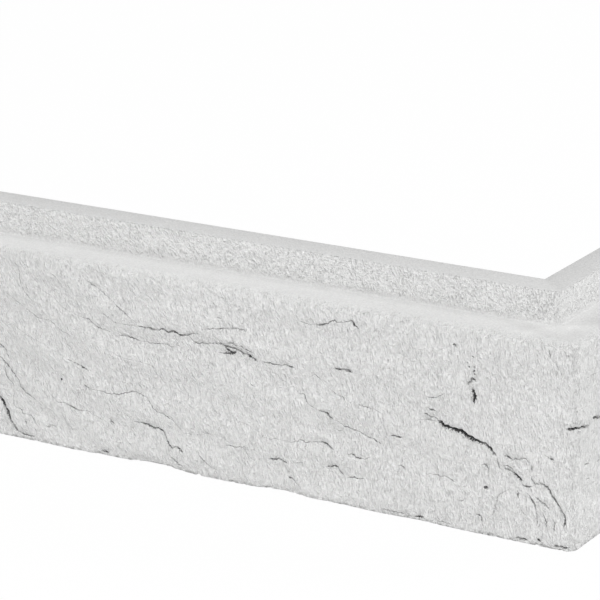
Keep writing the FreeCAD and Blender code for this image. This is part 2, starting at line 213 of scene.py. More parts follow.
    [(10.6, 39.3, 1.6), (12.5, 38.7, 2.6), (16.3, 37.6, 2.6)],
    [(6.1, 52.8, 0.6), (10.3, 52.4, 1.1), (14.6, 52.3, 1)],
    [(1.1, 44.1, 0.9), (4.3, 44.2, 0.6), (8, 44.1, 0.6)],
    [(-23.5, 27.2, 1.4), (-22.9, 26.9, 2.4), (-22.1, 26.5, 2.6), (-21.3, 26.1, 2.2), (-20.6, 25.8, 1.2),
     (-19.4, 26.5, 1.2), (-18.1, 26.4, 1.5), (-16.5, 26.9, 1.5), (-15.4, 26.3, 1.2), (-14.5, 25.7, 1.3),
     (-14.1, 24.4, 1.6), (-13.7, 22.9, 1)],
    [(-15.2, 22.6, 0.8), (-14.3, 22, 1.1), (-14.1, 20.9, 1.3), (-13.2, 19.8, 1.5), (-11.8, 19.7, 1.4),
     (-11.1, 20.6, 0.9)],
    [(-25.6, 26.1, 1.6), (-25.4, 24.8, 1.3), (-25.1, 23.5, 1.3), (-24.7, 22.3, 1.5), (-24, 22.2, 1.2)],
    [(-24, 22.7, 1.2), (-22.1, 22.4, 1.7), (-20.7, 21.9, 1.6), (-19.9, 21.3, 2.6), (-19.1, 20.7, 3.2),
     (-18.2, 20.2, 3.2), (-17.7, 19.9, 2.4), (-16.5, 20.2, 1.3)],
    [(-23.8, 23.7, 0.8), (-22.4, 23.5, 1.3), (-20.7, 22.9, 1.5), (-19.8, 22.1, 1.4)],
    [(-17.8, 19.4, 1), (-16.7, 18.3, 1.5), (-15.1, 18.1, 1.8), (-13.4, 18.7, 1)],
    [(-11.4, 21.8, 0.7), (-11.4, 20.3, 1.2), (-10.6, 19.8, 2), (-9.5, 19.3, 2.2), (-8.4, 18.5, 2.2),
     (-7.5, 17, 2), (-5.9, 15.3, 1.6), (-4.6, 13.8, 1.6), (-3.8, 12.3, 1.8), (-3.1, 10.8, 2),
     (-3, 9, 1.8), (-3.4, 6.9, 1.1)],
    [(-13.1, 16.1, 0.9), (-11.8, 14.8, 1.7), (-10, 13.8, 1.8), (-8.6, 13, 1.6), (-7.8, 11.8, 1.2)],
    [(-16.1, 16.8, 0.9), (-14.8, 15.6, 1.3), (-14.2, 14.2, 1.9), (-13.4, 13, 1.8), (-12.6, 11.2, 1.2),
     (-12.1, 9, 1.2), (-12.2, 6.7, 0.9)],
    [(-10.6, 11.2, 0.8), (-9.6, 9.6, 1.4), (-9.2, 7.7, 1.5), (-9.6, 5.7, 1)],
    [(-7.5, 10.8, 0.8), (-6.7, 9.1, 1.1), (-6.4, 7.2, 1.2), (-6.8, 5, 0.9)],
    [(-20.1, 16.4, 0.7), (-22, 15.8, 1), (-24.2, 14.5, 1.1), (-25.4, 12.8, 1.2), (-25.9, 10.5, 1),
     (-26.9, 7.7, 1.4), (-27.3, 6.3, 0.9)],
    [(-19.1, 16.8, 1.2), (-18.7, 15.2, 1.7), (-17.9, 13.4, 1.2)],
    [(-32.7, 6.7, 1.8), (-32.1, 6, 2.2), (-31.3, 5.6, 1.6), (-30.9, 4.1, 1.2), (-29.8, 1.7, 1.2)],
    [(-10, 29.6, 0.8), (-8.6, 29, 1.2), (-6.7, 28.2, 1.7), (-6.3, 27.8, 0.8)],
    [(5.9, 26.1, 1.3), (8.2, 25.5, 1.6), (10.2, 25.2, 0.9)],
    [(6.9, 21, 0.7), (10.4, 20.6, 1)],
    [(-18.6, 11.6, 0.7), (-16.7, 9.7, 0.9), (-15.6, 7.4, 0.8)],
    [(-19.9, 1.5, 1), (-17.5, 1.2, 2.4), (-14.9, 1.2, 2)],
    [(-12.6, 2.8, 1.4), (-11.8, 2, 2), (-10.6, 1.2, 2)],
    [(-7.4, 1.4, 1.4), (-5.5, 1.1, 2.2), (-3.1, 1.1, 2), (-0.1, 1.3, 1.6)],
    [(-59.4, 17, 1.4), (-57.9, 16.9, 1.5), (-56, 16, 1)],
    [(-46.2, 24.8, 0.6), (-45.9, 21.3, 0.8), (-45.5, 17.1, 1)],
    [(-51.5, 14.8, 0.6), (-48.1, 16.2, 0.9), (-45.8, 16.5, 1.5), (-45.1, 15.8, 1.6), (-43.4, 16.3, 1.2),
     (-41.2, 15.6, 1.1), (-39, 14.9, 0.7)],
    [(-39.3, 9.6, 0.9), (-37.7, 9.6, 1.2), (-36, 10.5, 0.8)],
    [(-31.5, 22.3, 0.9), (-29.4, 22.7, 1.4), (-28.7, 21.2, 1.6), (-28.5, 19.6, 0.9),
     (-28.2, 17.8, 0.9)],
    [(-65.5, 1.5, 1.2), (-61.6, 1.5, 1.7), (-56.2, 1.7, 1.4)],
    [(-54.2, 1.3, 1.8), (-51.9, 1.2, 2.6), (-49.7, 1.2, 1.8)],
    [(-46.2, 1.3, 0.9), (-43.3, 1.3, 1.3), (-40.4, 1.3, 0.9)],
    [(-27, 6.3, 1), (-26, 9.9, 1), (-25.2, 13.4, 0.8)],
    [(-202.5, 2.7, 1.5), (-200, 2, 1.8), (-197.3, 1.6, 1.6), (-193.8, 1.4, 1.2)],
    [(-169.3, 1.8, 1.4), (-166.9, 1.4, 2.2), (-165.1, 1.4, 1.6)],
    [(-180.7, 35.8, 1), (-178.6, 34.3, 1.2)],
    [(-176.9, 33.8, 0.7), (-174.7, 33.1, 0.8)],
    [(-77.2, 17, 0.9), (-75.6, 17.4, 1.3), (-73.2, 16.8, 1.6), (-70.4, 17.1, 1.3), (-68.2, 18.2, 0.8)],
    [(-78.2, 9.3, 0.7), (-75.3, 9.8, 1.3), (-73.3, 9.8, 1.4), (-70.9, 10.6, 1.3)],
    [(-98.9, 6.4, 1.3), (-97.5, 5.4, 1.8), (-95.9, 4.7, 1), (-93.5, 3, 0.8)],
    [(-34.5, 46.4, 1.8), (-34.4, 45.2, 2.4), (-34.1, 44, 3.2), (-33.8, 42.9, 3.8), (-33.7, 41.8, 3.2),
     (-33.6, 40.4, 2)],
    [(-35.8, 46.4, 2.2), (-36, 47, 2.4), (-34.8, 47.6, 2.4), (-34.7, 48.5, 2), (-33.8, 48.2, 2.2)],
]

# Cracks on the parts of both legs that lie further round, given in the same way
FAR_CRACKS = [
    [(-228, 51, 0.5), (-222, 47.5, 1.2), (-216, 46, 1.4), (-211, 42.6, 0.8)],
    [(-246, 38, 0.7), (-238, 33.5, 1.4), (-229, 32, 1.5), (-221, 27.4, 1.2), (-214, 24, 0.6)],
    [(-232, 18, 0.6), (-226, 14, 1.2), (-219, 12.6, 1.4), (-213, 8.8, 0.8)],
    [(-243, 58, 0.6), (-237, 56.4, 1.2), (-231, 52.8, 0.8)],
    [(16.3, 37.6, 2.2), (21, 37.9, 1.8), (27, 36.2, 1.6), (31, 34.6, 0.8)],
    [(14.6, 52.3, 0.9), (20, 51.2, 1.0), (26, 51.8, 0.6)],
    [(13.1, 24.3, 0.7), (20, 24.0, 1.2), (27, 21.4, 0.8)],
    [(44, 52, 0.6), (52, 51, 1.2), (62, 47.2, 1.7), (71, 46.4, 1.4), (82, 42.8, 0.8)],
    [(33, 24, 0.6), (40, 21.5, 1.3), (49, 18.6, 1.8), (58, 18.9, 1.6), (66, 14, 0.9)],
    [(80, 31, 0.6), (88, 27, 1.2), (95, 22.4, 1.5), (104, 20.8, 0.8)],
    [(62, 33, 0.6), (70, 31.4, 1.1), (78, 28.2, 0.6)],
    [(92, 54, 0.6), (100, 50.2, 1.2), (110, 49.5, 0.7)],
    [(24, 8.6, 0.6), (31, 7.2, 1.2), (38, 8, 0.7)],
]

# Air pits: run, height and width in millimetres
PITS = [
    (-183.4, 23.5, 0.35), (-29.3, 15.3, 0.9), (-40.2, 58.4, 0.45), (-33.2, 43.4, 0.35), (-34.5, 42.6, 0.3),
    (-33.1, 42.3, 0.3), (-35.9, 53.5, 0.3), (-35.4, 52.4, 0.35), (-33.6, 51.4, 0.5), (-33.9, 55.7, 0.35),
    (-33.5, 52.6, 0.4), (-33.6, 50.2, 0.4), (-2.7, 61, 0.35), (1.3, 44, 0.4), (47, 33, 0.6), (81, 56, 0.5),
]

# The layer of the pits, after those of the cracks, and half the length of a pit
PIT_LAYER = 3
PIT_REACH = 0.15

# A crack that starts this strong and has fewer points is a short hole with blunt ends, like a pit
BLUNT_STRENGTH = 1.9
BLUNT_POINTS = 6

# Spacing of the points that carry a crack's width and depth
CRACK_SPACING = 0.15

# Width and depth of a hairline, and the powers by which both grow with a crack's strength
CRACK_WIDTH = 0.175
CRACK_WIDENING = 1.4
CRACK_DEPTH = 0.22
CRACK_DEEPENING = 1.3

# Worn places of the bottom arris: run, half width and how far it is worn up, in millimetres
WORN = [
    (-200, 14, 0.15), (-165, 8, 0.15), (-147.5, 7.5, 0.95), (-101, 8, 0.55), (-80, 12, 0.15),
    (-52, 9, 0.2), (-228, 9, 0.6), (37, 9, 0.7), (74, 12, 0.4),
]

# Softboxes: name, azimuth and power. They share their elevation, distance and size
SOFTBOXES = [("middle softbox", 45.0, 10.9), ("left softbox", -50.0, 8.6), ("right softbox", 140.0, 8.9)]
SOFTBOX_ELEVATION = 36.0
SOFTBOX_DISTANCE = 1.5
SOFTBOX_SIZE = 0.5
CASTING_MIDDLE = Vector((-0.05, 0.0, 0.04))

# The camera: its angles in degrees, its place in millimetres and its focal length
CAMERA_AZIMUTH = 31.213
CAMERA_ELEVATION = 17.586
CAMERA_ROLL = -0.603
CAMERA_PLACE = Vector((404.565, -807.864, 355.542))
FOCAL_LENGTH = 190.69


class Value:
    """A socket of a node tree; arithmetic on it adds Math nodes."""

    def __init__(self, tree, socket):
        self.tree = tree
        self.socket = socket

    def __add__(self, other):
        return self.tree.math("ADD", self, other)

    def __sub__(self, other):
        return self.tree.math("SUBTRACT", self, other)

    def __rsub__(self, other):
        return self.tree.math("SUBTRACT", other, self)

    def __mul__(self, other):
        return self.tree.math("MULTIPLY", self, other)

    def __truediv__(self, other):
        return self.tree.math("DIVIDE", self, other)

    def __pow__(self, other):
        return self.tree.math("POWER", self, other)

    def __neg__(self):
        return self.tree.math("MULTIPLY", self, -1.0)

    __radd__ = __add__
    __rmul__ = __mul__


def added(name, data):
    """A new object in the scene."""
    thing = bpy.data.objects.new(name, data)
    bpy.context.scene.collection.objects.link(thing)
    return thing


def direction(azimuth, elevation):
    """The way out from the casting at two angles in degrees; azimuth 0 is ahead of the long leg."""
    a = math.radians(azimuth)
    e = math.radians(elevation)
    return Vector((math.sin(a) * math.cos(e), -math.cos(a) * math.cos(e), math.sin(e)))


class Tree:
    """A node tree that is written as expressions."""

    def __init__(self, nodes):
        self.nodes = nodes

    def node(self, kind, settings=(), sockets=()):
        """Add a node: its settings first, then its sockets' values or links."""
        made = self.nodes.nodes.new(kind)
        for name, value in dict(settings).items():
            setattr(made, name, value)
        for key, value in dict(sockets).items():
            if isinstance(value, Value):
                self.nodes.links.new(value.socket, made.inputs[key])
            else:
                made.inputs[key].default_value = value
        return lambda key=0: Value(self, made.outputs[key])

    def math(self, operation, *values):
        return self.node("ShaderNodeMath", {"operation": operation}, dict(enumerate(values)))()

    def vector(self, operation, *values, out=0):
        sockets = dict(enumerate(values))
        return self.node("ShaderNodeVectorMath", {"operation": operation}, sockets)(out)

    def scaled(self, vector, factor):
        sockets = {"Vector": vector, "Scale": factor}
        return self.node("ShaderNodeVectorMath", {"operation": "SCALE"}, sockets)()

    def held(self, value):
        """A value held between 0 and 1."""
        return self.node("ShaderNodeClamp", (), {"Value": value})()

    def ease(self, value, low, high):
        """From 0 at low to 1 at high, with no kink at either end."""
        sockets = {"Value": value, "From Min": low, "From Max": high}
        return self.node("ShaderNodeMapRange", {"interpolation_type": "SMOOTHSTEP"}, sockets)()

    def noise(self, vector, scale, detail=2.0, roughness=0.5, seed=0.0):
        """Noise that mostly lies between -1 and 1, whose lumps are one over the scale across."""
        spread = 2.2
        sockets = {"Vector": vector, "W": seed, "Scale": scale, "Detail": detail, "Roughness": roughness}
        fac = self.node("ShaderNodeTexNoise", {"noise_dimensions": "4D"}, sockets)("Fac")
        return fac * (2 * spread) - spread


def on_skin(run, z):
    """The point of the outer side at a run from the corner and a height, and the way it faces."""
    if run <= -CORNER_ROLL:
        return Vector((THICKNESS + run, -THICKNESS, z)), Vector((0, -1, 0))
    if run >= CORNER_ROLL:
        return Vector((THICKNESS, run - THICKNESS, z)), Vector((1, 0, 0))
    angle = math.pi / 4 + math.asin(run / (CORNER_ROLL * math.sqrt(2)))
    facing = Vector((math.sin(angle), -math.cos(angle), 0))
    centre = THICKNESS - CORNER_ROLL
    return Vector((centre, -centre, z)) + CORNER_ROLL * facing, facing


def arc(centre, radius, start, end, steps):
    """Points (out, z) along an arc of the cross section, without its first point."""
    turn = [math.radians(start + (end - start) * i / steps) for i in range(1, steps + 1)]
    return [(centre[0] + radius * math.cos(a), centre[1] + radius * math.sin(a)) for a in turn]


def line(start, end, steps):
    """Evenly spaced points (out, z) to end, without start."""
    return [tuple(a + (b - a) * i / steps for a, b in zip(start, end)) for i in range(1, steps + 1)]


def section():
    """The closed cross section from the wall along the bed, up the face and back: (out, z) points."""
    soft = SOFT_EDGE
    foot = FLANGE_FOOT
    front = THICKNESS
    top = FACE_HEIGHT
    flange = FLANGE_THICKNESS
    rows = [(0.0, soft)] + arc((soft, soft), soft, 180, 270, 2)
    rows += line(rows[-1], (front - BED_ROLL, 0.0), 8)
    rows += arc((front - BED_ROLL, BED_ROLL), BED_ROLL, -90, 0, 5)
    rows += line(rows[-1], (front, top - LEDGE_ROLL), 80)
    rows += arc((front - LEDGE_ROLL, top - LEDGE_ROLL), LEDGE_ROLL, 0, 90, 8)
    rows += line(rows[-1], (flange + foot, top), 10)
    rows += arc((flange + foot, top + foot), foot, 270, 180, 2)
    rows += line(rows[-1], (flange, TOTAL_HEIGHT - soft), 13)
    rows += arc((flange - soft, TOTAL_HEIGHT - soft), soft, 0, 90, 3)
    rows += line(rows[-1], (soft, TOTAL_HEIGHT), 5)
    rows += arc((soft, TOTAL_HEIGHT - soft), soft, 90, 180, 2)
    rows += line(rows[-1], rows[0], 20)[:-1]
    return rows


def plan_roll(out):
    """Radius of the outer corner in plan for a point that lies out from the wall sides."""
    marks = [(0.0, 0.0), (FLANGE_THICKNESS, FLANGE_CORNER_ROLL),
             (THICKNESS - LEDGE_ROLL, CORNER_ROLL - LEDGE_ROLL), (THICKNESS, CORNER_ROLL)]
    for (a, ra), (b, rb) in zip(marks, marks[1:]):
        if out <= b:
            return ra + (rb - ra) * (out - a) / (b - a)
    return CORNER_ROLL


def end_inset(distance):
    """How far the brick face draws back near a cut end."""
    if distance >= END_ROLL:
        return 0.0
    return END_ROLL - math.sqrt(END_ROLL ** 2 - (END_ROLL - distance) ** 2)


def sweep_point(out, z, station):
    """A point of the sweep: the long leg is station 0 to 1, the corner 1 to 2, the short leg 2 to 3."""
    is_brick = out > FLANGE_THICKNESS + 0.8 and z < FACE_HEIGHT + 0.1
    roll = plan_roll(out)
    centre = out - roll
    away = draw = 0.0
    if station < 1 or station > 2:
        leg, share = (LONG_LEG, station) if station < 1 else (SHORT_LEG, 3 - station)
        reach = leg - THICKNESS + out - roll
        distance = reach * share
        away = reach - distance
        draw = end_inset(distance) if is_brick else 0.0
    out = out - draw * (out - FLANGE_THICKNESS) / FACE_STEP
    if station < 1:
        return Vector((centre - away, -out, z))
    if station > 2:
        return Vector((out, -centre + away, z))
    angle = math.pi / 2 * (station - 1)
    return Vector((centre + roll * math.sin(angle), -centre - roll * math.cos(angle), z))


def stations():
    """Places along the sweep, closer together at the two cut ends."""
    near_end = [0.0, 0.25, 0.55, 0.9, 1.4]
    long_flat = LONG_LEG - CORNER_ROLL
    short_flat = SHORT_LEG - CORNER_ROLL
    places = [d / long_flat for d in near_end]
    steps = round((long_flat - END_ROLL) / SPACING)
    places += [(END_ROLL + (long_flat - END_ROLL) * i / steps) / long_flat for i in range(1, steps)]
    places += [1 + i / CORNER_STEPS for i in range(CORNER_STEPS + 1)]
    steps = round((short_flat - END_ROLL) / SPACING)
    places += [2 + (short_flat - END_ROLL) * i / steps / short_flat for i in range(1, steps)]
    places += [3 - d / short_flat for d in reversed(near_end)]
    return places


def dense(route, step=0.5):
    """Points every half millimetre or so along a route of (run, z) points."""
    points = [route[0][:2]]
    for (a, za, _), (b, zb, _) in zip(route, route[1:]):
        count = max(1, math.ceil(math.hypot(b - a, zb - za) / step))
        points += [(a + (b - a) * i / count, za + (zb - za) * i / count) for i in range(1, count + 1)]
    return points


def cut_finer(bm, faces):
    """Cut each of these faces in four."""
    edges = {edge for face in faces for edge in face.edges}
    bmesh.ops.subdivide_edges(bm, edges=list(edges), cuts=1, use_grid_fill=True)


def swept_blank():
    """The casting with its rolled edges and flat faces, meshed finer along the cracks."""
    rows = section()
    bm = bmesh.new()
    skin = bm.verts.layers.float.new("skin")
    stipple = bm.verts.layers.float.new("stipple")
    grid = []
    for place in stations():
        ring = []
        for out, z in rows:
            vert = bm.verts.new(sweep_point(out, z, place))
            on_face = out > THICKNESS - LEDGE_ROLL + 0.4 and z < FACE_HEIGHT - 0.2
            on_flange = abs(out - FLANGE_THICKNESS) < 0.05 and FACE_HEIGHT + 0.3 < z < TOTAL_HEIGHT - 0.3
            vert[skin] = 1.0 if on_face else 0.0
            vert[stipple] = 1.0 if on_flange else 0.0
            ring.append(vert)
        grid.append(ring)
    count = len(rows)
    for ring, after in zip(grid, grid[1:]):
        for i in range(count):
            j = (i + 1) % count
            bm.faces.new((ring[i], after[i], after[j], ring[j]))
    bm.faces.new(grid[0])
    bm.faces.new(grid[-1][::-1])
    bmesh.ops.remove_doubles(bm, verts=bm.verts, dist=1e-4)

    # The skin is cut finer within reach of any crack or pit, and once more close to the wide cracks
    routes = CRACKS + FAR_CRACKS
    wide = [route for route in routes if max(point[2] for point in route) > WIDE_CRACK]
    spots = [on_skin(run, z)[0] for run, z, _ in PITS]
    for reach, chosen in ((NEAR_CRACK, routes), (NEAR_WIDE_CRACK, wide)):
        points = spots + [on_skin(run, z)[0] for route in chosen for run, z in dense(route)]
        tree = kdtree.KDTree(len(points))
        for i, point in enumerate(points):
            tree.insert(point, i)
        tree.balance()
        outer = [face for face in bm.faces if len(face.verts) <= 4 and face.verts[0][skin] > 0.5]
        cut_finer(bm, [face for face in outer if tree.find(face.calc_center_median())[2] < reach])
    cut_finer(bm, [f for f in bm.faces if len(f.verts) == 4 and all(v[stipple] > 0.5 for v in f.verts)])
    bmesh.ops.scale(bm, vec=(MM, MM, MM), verts=bm.verts)
    bmesh.ops.recalc_face_normals(bm, faces=bm.faces)
    mesh = bpy.data.meshes.new("corner slip blank")
    bm.to_mesh(mesh)
    bm.free()
    return mesh


def crack_lines():
    """A helper object: the cracks and pits as edges on the flat skin, with their widths and depths."""
    verts, edges, widths, depths, facings, blunts, layers = [], [], [], [], [], [], []

    def add(route, layer, blunt):
        for i, (run, z, wide) in enumerate(route):
            point, facing = on_skin(run, z)
            verts.append(point * MM)
            facings.append(facing)
            widths.append(CRACK_WIDTH * wide ** CRACK_WIDENING)
            depths.append(CRACK_DEPTH * wide ** CRACK_DEEPENING)
            blunts.append(blunt)
            layers.append(layer)
            if i:
                edges.append((len(verts) - 2, len(verts) - 1))

    # The cracks take turns in the layers before the pits' own
    for i, route in enumerate(CRACKS + FAR_CRACKS):
        is_hole = route[0][2] > BLUNT_STRENGTH and len(route) < BLUNT_POINTS
        add(route, i % PIT_LAYER, 1.0 if is_hole else 0.0)
    for run, z, wide in PITS:
        strength = (wide / CRACK_WIDTH) ** (1 / CRACK_WIDENING)
        add([(run - PIT_REACH, z, strength), (run + PIT_REACH, z, strength)], PIT_LAYER, 1.0)
    mesh = bpy.data.meshes.new("crack lines")
    mesh.from_pydata(verts, edges, [])
    for name, values in (("width", widths), ("depth", depths), ("blunt", blunts)):
        mesh.attributes.new(name, "FLOAT", "POINT").data.foreach_set("value", values)
    mesh.attributes.new("layer", "INT", "POINT").data.foreach_set("value", layers)
    flat = [c for facing in facings for c in facing]
    mesh.attributes.new("facing", "FLOAT_VECTOR", "POINT").data.foreach_set("vector", flat)
    return added("crack lines", mesh)


def attribute(g, name, kind="FLOAT"):
    """A value that the mesh or a crack's points carry."""
    return g.node("GeometryNodeInputNamedAttribute", {"data_type": kind}, {"Name": name})("Attribute")


def stored(g, geometry, name, value, kind="FLOAT"):
    """The geometry with a value kept on its points."""
    settings = {"data_type": kind, "domain": "POINT"}
    sockets = {"Geometry": geometry, "Name": name, "Value": value}
    return g.node("GeometryNodeStoreNamedAttribute", settings, sockets)("Geometry")


def crack_points(g, lines, layer):
    """One layer of cracks as close points that know their width, depth and the way across."""
    is_layer = g.node("FunctionNodeCompare", {"data_type": "INT", "operation": "EQUAL"},
                      {2: attribute(g, "layer", "INT"), 3: layer})()
    chosen = {"Geometry": lines, "Selection": is_layer}
    part = g.node("GeometryNodeSeparateGeometry", {"domain": "POINT"}, chosen)()
    curve = g.node("GeometryNodeMeshToCurve", (), {"Mesh": part})()
    curve = g.node("GeometryNodeCurveSplineType", {"spline_type": "CATMULL_ROM"}, {"Curve": curve})()
    spaced = {"Curve": curve, "Length": CRACK_SPACING * MM}
    curve = g.node("GeometryNodeResampleCurve", {"mode": "LENGTH"}, spaced)()
    along = g.node("GeometryNodeSplineParameter")("Length")
    whole = g.node("GeometryNodeSplineLength")("Length")
    from_tip = g.math("MINIMUM", along, whole - along) / MM
    taper = g.math("MAXIMUM", g.ease(from_tip, -0.2, 1.6), attribute(g, "blunt"))
    place = g.node("GeometryNodeInputPosition")()
    ragged = 0.72 + 0.5 * g.held(0.5 + g.noise(place, 1 / (1.1 * MM), 2.0, 0.6, 3.0 + layer))
    curve = stored(g, curve, "width", attribute(g, "width") * taper * ragged)
    curve = stored(g, curve, "depth", attribute(g, "depth") * taper)
    tangent = g.node("GeometryNodeInputTangent")()
    across = g.vector("CROSS_PRODUCT", attribute(g, "facing", "FLOAT_VECTOR"), tangent)
    curve = stored(g, curve, "across", g.vector("NORMALIZE", across), "FLOAT_VECTOR")
    wander = g.noise(place, 1 / (1.6 * MM), 3.0, 0.6, 9.0 + layer) * (0.35 * MM)
    shift = g.scaled(attribute(g, "across", "FLOAT_VECTOR"), wander)
    curve = g.node("GeometryNodeSetPosition", (), {"Geometry": curve, "Offset": shift})()
    return g.node("GeometryNodeCurveToPoints", {"mode": "EVALUATED"}, {"Curve": curve})("Points")


def crack_relief(g, points, place, gape, is_pit):
    """What one layer of cracks gives: height in mm, distance from the rim, place across, width of the
    painted shade line.
    """
    found = {"Geometry": points, "Sample Position": place}
    nearest = g.node("GeometryNodeSampleNearest", {"domain": "POINT"}, found)()

    def sample(value, kind="FLOAT"):
        settings = {"data_type": kind, "domain": "POINT"}
        sockets = {"Geometry": points, "Value": value, "Index": nearest}
        return g.node("GeometryNodeSampleIndex", settings, sockets)()

    offset = g.vector("SUBTRACT", place, sample(g.node("GeometryNodeInputPosition")(), "FLOAT_VECTOR"))
    width = sample(attribute(g, "width")) * gape
    depth = sample(attribute(g, "depth"))
    across = sample(attribute(g, "across", "FLOAT_VECTOR"), "FLOAT_VECTOR")
    side = g.vector("DOT_PRODUCT", offset, across, out="Value")
    away = g.vector("LENGTH", offset, out="Value") / MM
    rim = away - width * 0.5
    slit = g.held(1.0 - away / (width * 0.5 + 0.1)) ** 0.6 * g.ease(width, 0.03, 0.3)
    above = g.ease(side / MM, -0.15, 0.15)
    strength = g.held(width * 1.1 + 0.03)
    shoulder = above * g.math("EXPONENT", away * -0.8) * strength * -0.6
    swell = above * g.math("EXPONENT", ((away - 2.6) * 0.6) ** 2.0 * -1.0) * strength * 0.3
    lip = (1.0 - above) * g.math("EXPONENT", away * -1.2) * strength * 0.3
    height = slit * depth * -1.0
    if is_pit:
        return height, rim, away, width
    return height + shoulder + lip + swell, rim, away * g.math("SIGN", side), width * 0.6


def moulded_relief(material, lines):
    """Geometry Nodes that give the blank its swells, flow folds, lumps, cracks, pits and worn arris."""
    nodes = bpy.data.node_groups.new("moulded relief", "GeometryNodeTree")
    interface = nodes.interface
    interface.new_socket("Geometry", in_out="OUTPUT", socket_type="NodeSocketGeometry")
    interface.new_socket("Geometry", in_out="INPUT", socket_type="NodeSocketGeometry")
    interface.new_socket("Crack lines", in_out="INPUT", socket_type="NodeSocketObject")
    interface.new_socket("Concrete", in_out="INPUT", socket_type="NodeSocketMaterial")
    sizes = {"Swell height": 0.42, "Swell length": 58.0, "Swell cross length": 37.0,
             "Fold height": 0.36, "Fold pitch": 15.0, "Lump height": 0.22, "Crack gape": 1.0,
             "Arris wear": 0.22, "Stipple height": 0.04}
    for name in sizes:
        interface.new_socket(name, in_out="INPUT", socket_type="NodeSocketFloat")
    g = Tree(nodes)
    given = g.node("NodeGroupInput")
    place = g.node("GeometryNodeInputPosition")()
    spot = g.node("ShaderNodeSeparateXYZ", (), {0: place})
    run = (spot("X") + spot("Y")) / MM
    z = spot("Z") / MM
    turn = 2 * math.pi
    from_corner = g.math("MAXIMUM", -run, 0.0)

    # Swells and flow folds, by the same rule as the part's source
    along = run / given("Swell length")
    swell = 0.0
    for cycles_along, cycles_up, phase, share in SWELL_WAVES:
        cycles = cycles_along * along + cycles_up * z / given("Swell cross length")
        swell = swell + share * g.math("SINE", turn * cycles + phase)
    rise = g.math("MAXIMUM", (from_corner - BOW_START) / BOW_RUN, 0.0) ** 2.0 * BOW_RISE
    fall = g.math("MAXIMUM", BOW_START - from_corner, 0.0) * BOW_FALL
    level = z - rise + fall
    wander = FOLD_WANDER * g.math("SINE", turn * along)
    fold = g.math("SINE", turn * level / given("Fold pitch") + wander)
    grown = (1.0 - FOLD_STRENGTH_AT_CORNER) * g.held(from_corner / BOW_START)
    strength = FOLD_STRENGTH_AT_CORNER + grown
    flow = given("Swell height") * swell + given("Fold height") * strength * fold

    # Thin layers that slid over each other along the same flow, and lumps of the wet mix
    drift = g.noise(place, 1 / (26 * MM), 2.0, 0.5, 1.0)
    phase = g.math("FRACT", level / 6.3 + drift * 0.9)
    patchy = g.ease(g.noise(place, 1 / (17 * MM), 1.0, 0.5, 2.0), 0.0, 0.5)
    layer = phase * g.ease(phase, 1.0, 0.9) * patchy * strength * 0.42
    lumps = g.noise(place, 1 / (9 * MM), 3.0, 0.55, 4.0) * given("Lump height")
    fine = g.noise(place, 1 / (2.4 * MM), 3.0, 0.6, 5.0) * given("Lump height") * 0.42

    skin = attribute(g, "skin")
    edge = g.ease(z, 0.0, 5.0) * g.ease(z, FACE_HEIGHT - 0.5, FACE_HEIGHT - 7.0)
    ends = g.ease(run, -LONG_LEG, 6.0 - LONG_LEG) * g.ease(run, SHORT_LEG, SHORT_LEG - 6.0)
    below_ledge = g.ease(z, FACE_HEIGHT + 1.0, FACE_HEIGHT - 5.0)
    relief = (flow + layer) * edge * ends + (lumps + fine) * below_ledge * ends

    # Cracks in three layers, so that a fork adds up, then the air pits
    source = {"Object": given("Crack lines")}
    info = g.node("GeometryNodeObjectInfo", {"transform_space": "ORIGINAL"}, source)("Geometry")
    opened = given("Crack gape")
    cracked, nearest_rim, side, gape = crack_relief(g, crack_points(g, info, 0), place, opened, False)
    for number in range(1, PIT_LAYER + 1):
        points = crack_points(g, info, number)
        height, rim, across, width = crack_relief(g, points, place, opened, number == PIT_LAYER)
        cracked = cracked + height
        closer = g.math("LESS_THAN", rim, nearest_rim)
        nearest_rim = g.math("MINIMUM", rim, nearest_rim)
        side = side + (across - side) * closer
        gape = gape + (width - gape) * closer
    gape = gape * g.ease(nearest_rim, 0.9, 0.5)
    relief = (relief + cracked) * skin * g.ease(z, -0.2, 1.4)

    # Stipple of the flange front
    stipple = attribute(g, "stipple")
    rough = g.noise(place, 1 / (1.6 * MM), 2.0, 0.6, 6.0) * given("Stipple height")
    relief = relief + rough * stipple

    normal = g.node("GeometryNodeInputNormal")()
    offset = g.scaled(normal, relief * MM)

    # The bottom arris is worn and chipped
    low = g.ease(z, 3.2, 0.4) * skin
    worn = g.held(g.noise(place, 1 / (13 * MM), 4.0, 0.65, 7.0)) * given("Arris wear")
    for at, half, depth in WORN:
        worn = worn + depth * g.math("EXPONENT", ((run - at) / half) ** 2.0 * -1.0)
    worn = worn * low
    chip = g.ease(g.noise(place, 1 / (2.6 * MM), 3.0, 0.6, 8.0), 0.1, 0.8) * low * 0.5
    lift = g.node("ShaderNodeCombineXYZ", (), {"Z": (worn + chip * 0.3) * MM})()
    back = g.scaled(normal, (worn * 0.5 + chip) * -MM)
    offset = g.vector("ADD", offset, g.vector("ADD", lift, back))

    shape = stored(g, given("Geometry"), "side", side)
    shape = stored(g, shape, "gape", gape * skin)
    shape = g.node("GeometryNodeSetPosition", (), {"Geometry": shape, "Offset": offset})()
    shape = g.node("GeometryNodeRealizeInstances", (), {"Geometry": shape})()
    shape = g.node("GeometryNodeSetMaterial", (), {"Geometry": shape, "Material": given("Concrete")})()
    g.node("NodeGroupOutput", (), {"Geometry": shape})

    values = {"Crack lines": lines, "Concrete": material}
    values.update(sizes)
    keys = {item.name: item.identifier for item in interface.items_tree if item.in_out == "INPUT"}
    return nodes, {keys[name]: value for name, value in values.items()}


def new_material(name):
    """A material without nodes, and its tree."""
    material = bpy.data.materials.new(name)
    material.use_nodes = True
    material.node_tree.nodes.clear()
    return material, Tree(material.node_tree)


